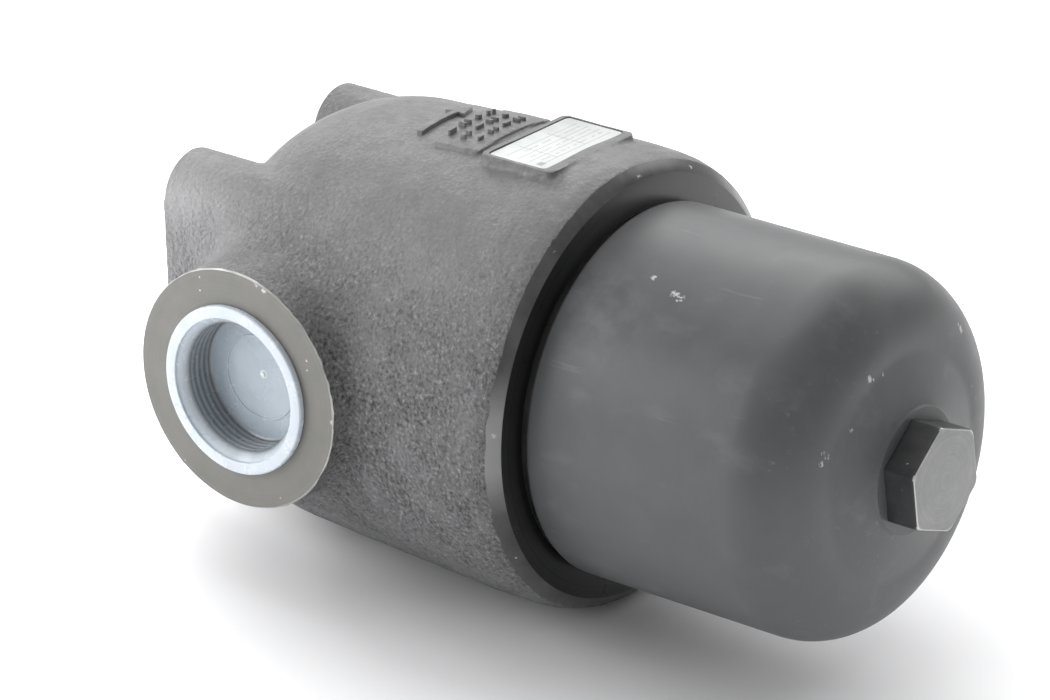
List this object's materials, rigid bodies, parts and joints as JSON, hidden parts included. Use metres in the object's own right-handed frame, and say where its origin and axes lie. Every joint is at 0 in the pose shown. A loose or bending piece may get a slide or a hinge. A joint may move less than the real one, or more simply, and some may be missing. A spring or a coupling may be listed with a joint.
{
  "type": "high-pressure in-line filter",
  "caption": "In-line hydraulic filter: domed cast head with two threaded ports and rear bolting bosses, and a screw-off bowl with a hexagon that holds a pleated element.",
  "frame": {"origin": "centre of the rear bolting face, on the bowl's axis", "axes": "+X along the bowl's axis to the hexagon, +Y to the outlet port, +Z to the name plate"},
  "size_m": [0.2689, 0.1587, 0.1501],
  "materials": {
    "cast_head": "dark phosphated sand casting",
    "bowl_steel": "satin dark coating on turned steel",
    "plate": "white printed foil",
    "plug": "translucent polyethylene",
    "rubber": "matt",
    "ptfe": "waxy",
    "machined_steel": "turned",
    "spring_steel": "drawn wire",
    "plated_steel": "zinc-plated sheet",
    "filter_medium": "glass fibre fleece",
    "wrap": "perforated wrap",
    "potting": "cast resin"
  },
  "bodies": {
    "head": {"filter_head": "cast_head", "name_plate": "plate", "element_spigot": "machined_steel", "spigot_seal_ring": "rubber", "bypass_spring": "spring_steel", "bypass_guide": "machined_steel", "bypass_retaining_ring": "spring_steel"},
    "dust_plug": {"inlet_dust_plug": "plug"},
    "poppet": {"bypass_poppet": "machined_steel", "bypass_seal": "rubber"},
    "element": {"element_top_cap": "plated_steel", "element_bottom_cap": "plated_steel", "element_media": "filter_medium", "element_support_mesh": "plated_steel", "element_core_tube": "plated_steel", "element_outer_wrap": "wrap", "element_top_potting": "potting", "element_bottom_potting": "potting", "element_seal_ring": "rubber", "element_spring": "spring_steel"},
    "bowl": {"bowl": "bowl_steel", "bowl_o_ring": "rubber", "bowl_backup_ring": "ptfe"}
  },
  "joints": [
    {"name": "bowl_travel", "type": "slide", "parent": "head", "child": "element", "axis": [1, 0, 0], "range_m": [0, 0.0261]},
    {"name": "bowl_screw", "type": "hinge", "parent": "element", "child": "bowl", "pos_m": [0.2, 0, 0], "axis": [1, 0, 0], "range_deg": [0, 2340]},
    {"name": "bypass_lift", "type": "slide", "parent": "head", "child": "poppet", "axis": [1, 0, 0], "range_m": [0, 0.008], "deforming": ["bypass_spring"]},
    {"name": "plug_pull", "type": "slide", "parent": "head", "child": "dust_plug", "axis": [0, -1, 0], "range_m": [0, 0.03]}
  ],
  "couplings": [
    {"joint": "bowl_travel", "follows": "bowl_screw", "m_per_rad": 0.00063662}
  ]
}
